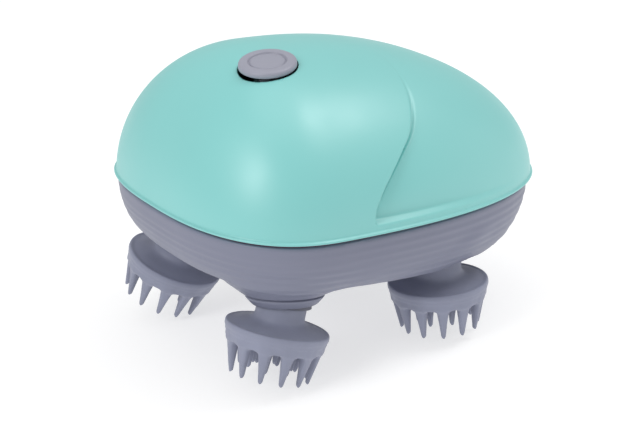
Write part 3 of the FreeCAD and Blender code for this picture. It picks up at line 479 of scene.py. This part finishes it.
def cut_button_hole(shell):
    """A round hole through the dome for the button."""
    matrix = button_frame()
    cutter = bpy.data.meshes.new("cutter")
    tool = bmesh.new()
    radius = (BUTTON_R + BUTTON_GAP) * MM
    bmesh.ops.create_cone(tool, cap_ends=True, segments=HOLE_SEGMENTS, radius1=radius, radius2=radius,
                          depth=HOLE_LENGTH * MM)
    tool.to_mesh(cutter)
    tool.free()
    cut = bpy.data.objects.new("cutter", cutter)
    bpy.context.scene.collection.objects.link(cut)
    cut.matrix_world = Matrix.Translation(Vector(matrix.translation) * MM) @ matrix.to_3x3().to_4x4()
    modifier = shell.modifiers.new("hole", "BOOLEAN")
    modifier.operation = "DIFFERENCE"
    modifier.object = cut
    modifier.solver = "EXACT"
    apply_modifiers(shell)
    bpy.data.objects.remove(cut)


def apply_modifiers(piece):
    """The piece's mesh as its modifiers leave it."""
    bpy.context.view_layer.update()
    done = bpy.data.meshes.new_from_object(piece.evaluated_get(bpy.context.evaluated_depsgraph_get()))
    piece.modifiers.clear()
    piece.data = done


# ---- forms worked out as a field, zero on the skin and negative inside --------------------------------
def profile_distance(r, z, profile):
    """Signed distance from points (r, z) to a closed profile in that plane."""
    near = np.full(r.shape, np.inf)
    inside = np.zeros(r.shape, bool)
    for (r0, z0), (r1, z1) in zip(profile, profile[1:] + profile[:1]):
        dr, dz = r1 - r0, z1 - z0
        t = np.clip(((r - r0) * dr + (z - z0) * dz) / (dr * dr + dz * dz), 0, 1)
        near = np.minimum(near, (r - r0 - t * dr) ** 2 + (z - z0 - t * dz) ** 2)
        if dz:
            crosses = ((z0 > z) != (z1 > z)) & (r < r0 + (z - z0) * dr / dz)
            inside ^= crosses
    return np.where(inside, -1, 1) * np.sqrt(near)


def smooth_line(points, count):
    """A Catmull-Rom curve through points of a plane, with count points for each stretch."""
    p = np.array([points[0], *points, points[-1]])
    line = []
    for a, b, c, d in zip(p, p[1:], p[2:], p[3:]):
        for t in np.linspace(0, 1, count, endpoint=False):
            line.append(0.5 * (2 * b + (c - a) * t + (2 * a - 5 * b + 4 * c - d) * t * t
                               + (3 * b - a - 3 * c + d) * t ** 3))
    return [tuple(q) for q in line] + [points[-1]]


def merged(a, b, fillet):
    """The union of two fields with a fillet between them."""
    h = np.maximum(fillet - np.abs(a - b), 0) / fillet
    return np.minimum(a, b) - h * h * fillet / 4


def shared(a, b, round_off):
    """Where both fields are inside, with the edge rounded off."""
    return -merged(-a, -b, round_off)


def cylinder_field(points, radius, z0, z1):
    """A cylinder about Z."""
    r = np.hypot(points[..., 0], points[..., 1])
    return np.maximum(r - radius, np.abs(points[..., 2] - (z0 + z1) / 2) - (z1 - z0) / 2)


def grid(low, high, spacing):
    """Points (i, j, k, 3) that fill a box."""
    axes = [np.arange(a, b + spacing, spacing) for a, b in zip(low, high)]
    return np.stack(np.meshgrid(*axes, indexing="ij"), -1)


def net(field):
    """Quads round the zero level of a sampled field; the points are in steps of its grid."""
    inside = field < 0
    cells_shape = [n - 1 for n in field.shape]
    filled = np.zeros(cells_shape, np.int8)
    for i, j, k in np.ndindex(2, 2, 2):
        filled += inside[i:cells_shape[0] + i, j:cells_shape[1] + j, k:cells_shape[2] + k]
    active = (filled > 0) & (filled < 8)
    number = np.full(cells_shape, -1)
    number[active] = np.arange(active.sum())
    cells = np.argwhere(active)
    total = np.zeros(cells.shape)
    hits = np.zeros(len(cells))
    faces = []
    for axis in range(3):
        u, v = (axis + 1) % 3, (axis + 2) % 3
        for i, j in np.ndindex(2, 2):
            start = cells.copy()
            start[:, u] += i
            start[:, v] += j
            end = start.copy()
            end[:, axis] += 1
            f0, f1 = field[tuple(start.T)], field[tuple(end.T)]
            cut = (f0 < 0) != (f1 < 0)
            crossing = start[cut].astype(float)
            crossing[:, axis] += f0[cut] / (f0[cut] - f1[cut])
            total[cut] += crossing
            hits[cut] += 1
        first = np.moveaxis(inside, axis, 0)
        edges = np.argwhere(first[:-1] != first[1:])
        edges = edges[(edges[:, 1:] > 0).all(1)]
        order = [axis] + [a for a in range(3) if a != axis]
        spot = np.zeros_like(edges)
        spot[:, order] = edges
        spot = spot[(spot[:, u] < cells_shape[u]) & (spot[:, v] < cells_shape[v])]
        outward = inside[tuple(spot.T)]
        corners = []
        for i, j in ((0, 0), (1, 0), (1, 1), (0, 1)):
            corner = spot.copy()
            corner[:, u] -= i
            corner[:, v] -= j
            corners.append(number[tuple(corner.T)])
        quads = np.stack(corners, 1)
        quads[~outward] = quads[~outward][:, ::-1]
        faces.append(quads)
    return total / hits[:, None], np.vstack(faces)


def sample(field, points):
    """The field between its grid points."""
    limit = np.array(field.shape[:3]) - 2
    whole = np.clip(np.floor(points).astype(int), 0, limit)
    part = points - whole
    value = 0
    for corner in np.ndindex(2, 2, 2):
        weight = np.prod(np.where(np.array(corner) == 1, part, 1 - part), axis=1)
        at = field[tuple((whole + np.array(corner)).T)]
        value = value + (weight if at.ndim == 1 else weight[:, None]) * at
    return value


EVEN_OUT = 0.5                 # share of the way to the neighbours' middle, in each round
BACK_TO_SKIN = 2               # steps back to the zero level after that
FLAT_SLOPE = 0.05              # least square of the slope that a step trusts, per square of the spacing


def skin(field, low, spacing, rounds=4):
    """Points in millimetres and faces on the zero level, evened out along the skin."""
    points, faces = net(field)
    slope = np.stack(np.gradient(field), -1)
    links = np.concatenate([faces, np.roll(faces, 1, 1)], 1).reshape(-1)
    others = np.concatenate([np.roll(faces, 1, 1), faces], 1).reshape(-1)
    count = np.bincount(links, minlength=len(points))[:, None]
    for _ in range(rounds):
        around = np.stack([np.bincount(links, points[others, a], len(points)) for a in range(3)], 1) / count
        points = points + (around - points) * EVEN_OUT
        for _ in range(BACK_TO_SKIN):
            g = sample(slope, points)
            size = np.maximum((g * g).sum(1), FLAT_SLOPE * spacing ** 2)
            points = points - np.clip(sample(field, points) / size, -2, 2)[:, None] * g
    return points * spacing + np.array(low), faces


# ---- lower shell -----------------------------------------------------------------------------------
SHELL_SPACING = 0.52
RIB_START = (1.0, 2.5)         # depths between which the ribs start
BOWL_ROUNDING = 1.2            # between the bowl's side and its underside
SHELL_LOW = (-60.0, -50.5)     # corners of the grid round the shell
SHELL_HIGH = (58.0, 50.5, SEAM_Z + 1.2)
SHELL_HEIGHT = 28.0            # of the grid below the parting line; the shell's edge is between two layers
HOUSING_INSET = 0.2            # of the walls inside the shell from its outside
FAR = 1e3                      # a distance outside everything
FUNNEL = ((14.0, 5.0), (15.4, 3.6), (14.4, 1.9), (12.4, 0.3), (10.9, -0.8), (9.6, -1.1), (8.4, -1.2))
FUNNEL_FOOT = -1.4
FUNNEL_R = 8.4
BOSS_FILLET = 3.0
BOSS_REACH = 26                # beyond this radius a boss changes nothing
BOSS_WALLS = ((6.4, 0.0, 8.0), (BOSS_BORE_R + 1.7, -2.0, 4.4))               # radius, z0, z1
BOSS_BORES = ((BOSS_BORE_R, -9.0, 2.4), (5.05, 2.0, 3.2), (4.05, 2.6, 12.0))
LONG = 30.0                    # reaches right through the shell
POST_R = 3.6
POST_SKIN = 0.5
SCREW_HEAD_R = 2.75
SCREW_HOLE_R = 1.7
RECESS_X = PORT_X + 6.6
RECESS_HALF = (5.0, 6.6, 3.6)  # half sizes of the port's recess and of its opening
SLOT_HALF = (6.0, 4.7, 1.8)
# the dished recess that a claw turns in, as (r, z) about its boss
FLARE = [(0.0, -MOUTH), (8.5, -MOUTH), (10.4, -6.1), (16.5, -6.1), (19.0, -16.0), (0.0, -16.0)]


def boss_matrix(number):
    """From the frame of a boss, +Z up its axis, to the CAD frame, in millimetres."""
    joint = joints[f"head_spin_{number}"]
    return Matrix.Translation(Vector(joint["pos_m"]) / MM) @ upright(Vector(joint["axis"]))


def claw_matrix(number):
    """From a claw's frame, +Z up its stub, to the CAD frame, in millimetres."""
    turn = upright(-Vector(joints[f"claw_pull_{number}"]["axis"]))
    turn = turn @ Matrix.Rotation(math.radians(CLAW_TURNS[number]), 4, "Z")
    return Matrix.Translation(boss_matrix(number).translation) @ turn


TINY = 1e-6                    # keeps the middle of the plan from a division by zero
SHARE_STEP = 0.05              # of depth, where the share is worked out
BLUR_POINTS = 17


def bowl_share(depth):
    """Share of the plan curve at each depth, smoothed between the steps."""
    fine = np.arange(-4.0, BOWL_DEPTH + SHARE_STEP, SHARE_STEP)
    share = np.interp(fine, *zip(*BOWL_STEPS))
    blur = np.exp(-np.linspace(-2, 2, BLUR_POINTS) ** 2)
    share = np.convolve(np.pad(share, BLUR_POINTS // 2, mode="edge"), blur / blur.sum(), mode="valid")
    return np.interp(depth, fine, share)


def bowl_fields(points):
    """Distance from the bowl's side, not yet evened out, and depth below its edge."""
    x, y, z = points[..., 0], points[..., 1], points[..., 2] - SEAM_Z
    keel = BOWL_KEEL * x / BOWL_DEPTH
    depth = (SEAM_GAP / 2 * keel - z) / (1 + keel)
    dx = x - PLAN_X
    u, v = dx / np.where(dx < 0, BLUNT_LENGTH, NARROW_LENGTH), y / HALF_WIDTH
    share = np.hypot(v, u) / plan_radius(np.arctan2(v, u)) + TINY
    reach = (np.hypot(dx, y) + TINY) / share
    return (share - bowl_share(depth)) * reach, depth


def box_field(points, middle, halves):
    """A box with level sides."""
    return (np.abs(points - np.array(middle)) - np.array(halves)).max(-1)


def boss_parts(points, outside):
    """The bowl's outside with its four bosses, their walls, and what is hollow in them."""
    walls = np.full(outside.shape, FAR)
    hollows = np.full(outside.shape, FAR)
    profile = [(0.0, FUNNEL[0][1])] + smooth_line(FUNNEL, 4) + [(FUNNEL_R, FUNNEL_FOOT), (0.0, FUNNEL_FOOT)]
    for number in (1, 2, 3, 4):
        q = moved(points, boss_matrix(number).inverted() @ BODY)
        r = np.hypot(q[..., 0], q[..., 1])
        close = r < BOSS_REACH
        funnel = np.full(r.shape, FAR)
        funnel[close] = profile_distance(r[close], q[..., 2][close], profile)
        outside = merged(outside, funnel, BOSS_FILLET)
        for size in BOSS_WALLS:
            walls = np.minimum(walls, cylinder_field(q, *size))
        for size in BOSS_BORES:
            hollows = np.minimum(hollows, cylinder_field(q, *size))
        flare = np.full(r.shape, FAR)
        flare[close] = profile_distance(r[close], q[..., 2][close], FLARE)
        hollows = np.minimum(hollows, flare)
    return outside, walls, hollows


def make_lower_shell():
    """The bowl with its ribs, bosses, screw posts and port, as one skin."""
    layers = math.ceil(SHELL_HEIGHT / SHELL_SPACING) + 0.5
    low = (*SHELL_LOW, SEAM_Z - SEAM_GAP / 2 - layers * SHELL_SPACING)
    p = grid(low, SHELL_HIGH, SHELL_SPACING)
    side, depth = bowl_fields(p)
    slope = np.sqrt(sum(g * g for g in np.gradient(side, SHELL_SPACING)))
    side = side / np.maximum(slope, 1.0)
    ribs = RIB_HEIGHT * np.cos(2 * np.pi * depth / RIB_PITCH) * step(depth, *RIB_START)
    bowl = shared(side + ribs, depth - BOWL_DEPTH, BOWL_ROUNDING)
    cavity = np.maximum(side, depth - BOWL_DEPTH) + WALL
    outside, housings, hollows = boss_parts(p, bowl)
    in_cad = moved(p, BODY)
    for x, y in SCREW_SPOTS:
        seat = SEAM_Z - (x - HEAD_CENTRE_X) * math.tan(BODY_TILT) - SCREW_SEAT
        q = in_cad - np.array([x, y, seat])
        post = shared(cylinder_field(q, POST_R, -LONG, LONG), outside + POST_SKIN, POST_SKIN)
        housings = np.minimum(housings, post)
        hollows = np.minimum(hollows, cylinder_field(q, SCREW_HEAD_R, -LONG, 0.0))
        hollows = np.minimum(hollows, cylinder_field(q, SCREW_HOLE_R, -1.0, LONG))
    recess = box_field(p, (RECESS_X, 0.0, SEAM_Z - PORT_DEPTH), RECESS_HALF)
    slot = box_field(p, (PORT_X, 0.0, SEAM_Z - PORT_DEPTH), SLOT_HALF)
    field = np.minimum(np.maximum(outside, -cavity), np.maximum(housings, outside + HOUSING_INSET))
    field = np.maximum(field, -np.minimum(np.minimum(hollows, recess), slot))
    field = np.maximum(field, p[..., 2] - SEAM_Z + SEAM_GAP / 2)
    points, faces = skin(field, low, SHELL_SPACING)
    return new_object("lower_shell_skin", moved(points, BODY), faces, bowl_grey)


def lathe(name, profile, segments, material, matrix):
    """A closed ring or disc turned about Z from (r, z) points: a disc if they start at r 0."""
    angle = np.linspace(0, 2 * np.pi, segments, endpoint=False)
    rings = [np.stack([r * np.cos(angle), r * np.sin(angle), np.full(segments, z)], -1) for r, z in profile]
    points = np.array(rings).reshape(-1, 3)
    faces = loft_faces(len(profile), segments)
    if profile[0][0] > 0:
        last = (len(profile) - 1) * segments
        faces += [(last + j, last + (j + 1) % segments, (j + 1) % segments, j) for j in range(segments)]
    piece = new_object(name, moved(points, matrix), faces, material)
    mesh = bmesh.new()
    mesh.from_mesh(piece.data)
    bmesh.ops.remove_doubles(mesh, verts=mesh.verts, dist=1e-7)
    bmesh.ops.recalc_face_normals(mesh, faces=mesh.faces)
    mesh.to_mesh(piece.data)
    mesh.free()
    return piece


COLLAR_SEGMENTS = 120
COLLAR = ((BOSS_BORE_R + 0.05, -1.0), (9.8, -1.0), (10.15, -1.1), (10.2, -1.3), (10.42, -1.38),
          (10.45, -1.55), (10.0, -2.1), (9.5, -2.65), (9.1, -3.1), (BOSS_COLLAR_R - 0.05, -3.42),
          (BOSS_COLLAR_R - 0.35, -MOUTH), (BOSS_BORE_R + 0.25, -MOUTH), (BOSS_BORE_R + 0.05, -3.4))


# ---- claws -----------------------------------------------------------------------------------------
CLAW_FLARE = ((6.7, -3.62), (6.7, -5.5), (6.7, -7.0), (7.1, -8.0), (8.3, -8.75), (10.7, -9.4), (12.3, -9.85),
              (13.0, -9.95), (13.5, -9.88), (13.85, -10.05), (14.0, -10.5), (14.0, -11.3), (13.78, -11.75),
              (13.62, -12.6), (13.42, -12.85), (13.1, -14.7))
BAND_FOOT = -14.6
CLAW_FOOT = ((12.6, BAND_FOOT - 0.25), (10.2, BAND_FOOT - 0.2), (9.8, BAND_FOOT + 0.2), (9.7, -13.2),
             (9.2, -12.6), (6.0, -12.6), (5.4, -13.2), (5.3, -15.2), (4.9, -15.6), (0.0, -15.6))
CLAW_TOP = CLAW_FLARE[0][1]
CLAW_TIP = -23.6
CLAW_LOW = (-15.0, -15.0, CLAW_TIP - 0.9)      # corners of the grid round a claw
CLAW_HIGH = (15.0, 15.0, -3.0)
SOCKET_R = 3.65
SOCKET_FLAT = 2.95             # x of the flat in the socket
SOCKET_END = -13.7
CLAW_SPACING = 0.3
OUTER_RING = ((13.05, BAND_FOOT + 0.3), (11.0, CLAW_TIP))      # (outer radius, z) of a tooth's root and tip
INNER_RING = ((7.6, -12.4), (6.4, CLAW_TIP + 1.6))
OUTER_FILLET = 1.0
INNER_FILLET = 0.7
# down a tooth: share of its length, half width and depth
OUTER_TOOTH = ((0.0, 2.1, 3.0), (0.15, 1.6, 2.7), (0.5, 1.1, 2.0), (0.93, 0.62, 1.1), (1.0, 0.25, 0.5))
INNER_TOOTH = ((0.0, 1.7, 2.4), (0.5, 1.1, 1.7), (0.93, 0.6, 1.0), (1.0, 0.25, 0.5))
TOOTH_ROUNDING = 0.75
TOOTH_OVERLAP = 1.5            # how far a tooth reaches up into the claw's body


def teeth_field(points, count, first, root, tip, stations):
    """A ring of pointed teeth; root and tip are (outer radius, z), first is a share of the pitch."""
    pitch = 2 * np.pi / count
    angle = np.arctan2(points[..., 1], points[..., 0]) - first * pitch
    angle = (angle + pitch / 2) % pitch - pitch / 2
    r = np.hypot(points[..., 0], points[..., 1])
    share = np.clip((points[..., 2] - root[1]) / (tip[1] - root[1]), 0, 1)
    levels, halves, depths = zip(*stations)
    half = np.interp(share, levels, halves)
    deep = np.interp(share, levels, depths) / 2
    middle = root[0] + (tip[0] - root[0]) * share - deep
    corner = np.minimum(half, deep) * TOOTH_ROUNDING
    across = np.abs(r * np.sin(angle)) - half + corner
    through = np.abs(r * np.cos(angle) - middle) - deep + corner
    flat = np.hypot(np.maximum(across, 0), np.maximum(through, 0))
    flat = flat + np.minimum(np.maximum(across, through), 0) - corner
    ends = np.maximum(tip[1] - points[..., 2], points[..., 2] - root[1] - TOOTH_OVERLAP)
    return np.maximum(flat, ends)


def claw_skin():
    """Points and faces of a claw: a flared body with two rings of teeth and a D-shaped socket."""
    p = grid(CLAW_LOW, CLAW_HIGH, CLAW_SPACING)
    r = np.hypot(p[..., 0], p[..., 1])
    profile = [(0.0, CLAW_TOP), CLAW_FLARE[0]] + smooth_line(CLAW_FLARE[1:], 3) + list(CLAW_FOOT)
    body = profile_distance(r, p[..., 2], profile)
    outer = teeth_field(p, OUTER_TEETH, 0.0, *OUTER_RING, OUTER_TOOTH)
    inner = teeth_field(p, INNER_TEETH, 0.5, *INNER_RING, INNER_TOOTH)
    field = merged(merged(body, outer, OUTER_FILLET), inner, INNER_FILLET)
    socket = np.maximum(cylinder_field(p, SOCKET_R, SOCKET_END, 0.0), p[..., 0] - SOCKET_FLAT)
    return skin(np.maximum(field, -socket), CLAW_LOW, CLAW_SPACING)


# ---- button ----------------------------------------------------------------------------------------
BUTTON_SEGMENTS = 160
BUTTON_STEM = ((2.5, -0.8), (2.5, -5.2), (2.4, -5.3), (0.0, -5.3))


def make_button():
    """The cap with its sunk ring line and rounded edge, and its stem."""
    # (r, z) from the ring line, then from the edge
    dish = [(-1.6, -0.24), (-0.55, -0.2), (-0.36, -0.3), (-0.24, -0.5), (-0.08, -0.58),
            (0.08, -0.5), (0.2, -0.2), (0.32, -0.04), (0.5, 0.0)]
    edge = [(-1.1, -0.02), (-0.55, -0.14), (-0.2, -0.38), (-0.04, -0.7), (0.0, -1.0)]
    profile = [(0.0, BUTTON_STAND - 0.28)]
    profile += [(BUTTON_RING_R + r, BUTTON_STAND + z) for r, z in dish]
    profile += [(BUTTON_R + r, BUTTON_STAND + z) for r, z in edge]
    profile += [(BUTTON_R, -0.7), (BUTTON_R - 0.1, -0.8), *BUTTON_STEM]
    return lathe("button_face", profile, BUTTON_SEGMENTS, button_grey, button_frame())


# ---- pieces in their places ------------------------------------------------------------------------
def place(piece, node, body, slot):
    """A detailed piece instead of a CAD node."""
    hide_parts(node)
    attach(piece, body)


place(make_top_shell(), "top_shell", "base", "mint_shell")
place(make_lower_shell(), "lower_shell", "base", "grey_shell")
place(make_button(), "button_cap", "button", "button_grey")
claw_points, claw_faces = claw_skin()
for number in (1, 2, 3, 4):
    collar = lathe(f"boss_collar_{number}", COLLAR, COLLAR_SEGMENTS, grey, boss_matrix(number))
    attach(collar, "base")
    claw = new_object(f"claw_{number}_skin", moved(claw_points, claw_matrix(number)), claw_faces, claw_rubber)
    place(claw, f"claw_head_{number}", f"claw_{number}", "claw_silicone")


# ---- camera, light and floor ---------------------------------------------------------------------
CAMERA_AZIMUTH = math.radians(-33.0)
CAMERA_ELEVATION = math.radians(17.64)
CAMERA_ROLL = math.radians(1.38)
CAMERA_DISTANCE = 480.0
CAMERA_LENS = 96.4
LOOK_RIGHT = -4.86            # where the camera looks, from the middle of the parting line
LOOK_UP = -11.03
FLOOR_HALF = 3000
WHITE = (1.0, 1.0, 1.0, 1.0)
WORLD_STRENGTH = 0.58
LIGHTS = (                     # name, direction, distance and size in metres, power in watts
    ("key", (-0.81, -0.19, 0.56), 0.7, 0.32, 1.5),
    ("top", (0.46, -0.22, 0.84), 0.8, 0.36, 1.7),
    ("over", (0.0, 0.1, 1.0), 1.0, 0.9, 1.5),
    ("right", (0.92, -0.4, 0.12), 0.8, 0.7, 0.5),
)


def make_camera():
    """A camera on the -Y side, towards the blunt end and above, at angles in the body's frame."""
    sa, ca = math.sin(CAMERA_AZIMUTH), math.cos(CAMERA_AZIMUTH)
    se, ce = math.sin(CAMERA_ELEVATION), math.cos(CAMERA_ELEVATION)
    back = Vector((sa * ce, -ca * ce, se))
    right = Vector((ca, sa, 0))
    up = back.cross(right)
    turn = Matrix.Rotation(CAMERA_ROLL, 3, back)
    right, up = turn @ right, turn @ up
    back, right, up = (BODY.to_3x3() @ v for v in (back, right, up))
    middle = BODY @ Vector((BODY_X, 0, SEAM_Z))
    spot = middle + back * CAMERA_DISTANCE
    back = (spot - (middle + right * LOOK_RIGHT + up * LOOK_UP)).normalized()
    right = up.cross(back).normalized()
    up = back.cross(right)
    camera = bpy.data.objects.new("camera", bpy.data.cameras.new("camera"))
    bpy.context.scene.collection.objects.link(camera)
    camera.data.lens = CAMERA_LENS
    camera.data.sensor_width = 36.0
    camera.data.clip_start = 0.01
    turn = Matrix((right, up, back)).transposed().to_4x4()
    camera.matrix_world = Matrix.Translation(spot * MM) @ turn
    bpy.context.scene.camera = camera


def area_light(name, direction, distance, size, power):
    """A round soft light in that direction from the body, facing it."""
    light = bpy.data.lights.new(name, "AREA")
    light.shape = "DISK"
    light.size = size
    light.energy = power
    lamp = bpy.data.objects.new(name, light)
    bpy.context.scene.collection.objects.link(lamp)
    way = Vector(direction).normalized()
    lamp.location = Vector((0, 0, SEAM_Z * MM)) + way * distance
    lamp.rotation_euler = way.to_track_quat("Z", "Y").to_euler()


def make_floor():
    """A plain pale floor that glows a little, so that it stays white up to the horizon."""
    n = Nodes("floor_white")
    n.set(Base_Color=n.ramp(n.noise(scale=3.0), (0.46, 0.46, 0.46, 1), (0.5, 0.5, 0.5, 1)), Roughness=0.9,
          Specular_IOR_Level=0.1, Emission_Color=WHITE, Emission_Strength=0.62)
    n.bump((n.noise(scale=400.0), 0.05, 0.0002))
    e = FLOOR_HALF
    corners = [(-e, -e, 0), (e, -e, 0), (e, e, 0), (-e, e, 0)]
    floor = new_object("floor", corners, [(0, 1, 2, 3)], n.material, smooth=False)


def make_world():
    """An even white light from all round."""
    world = bpy.data.worlds.new("studio")
    world.use_nodes = True
    background = world.node_tree.nodes["Background"].inputs
    background["Color"].default_value = WHITE
    background["Strength"].default_value = WORLD_STRENGTH
    bpy.context.scene.world = world
    bpy.context.scene.view_settings.view_transform = "Standard"


make_camera()
make_floor()
make_world()
for lamp_row in LIGHTS:
    area_light(*lamp_row)
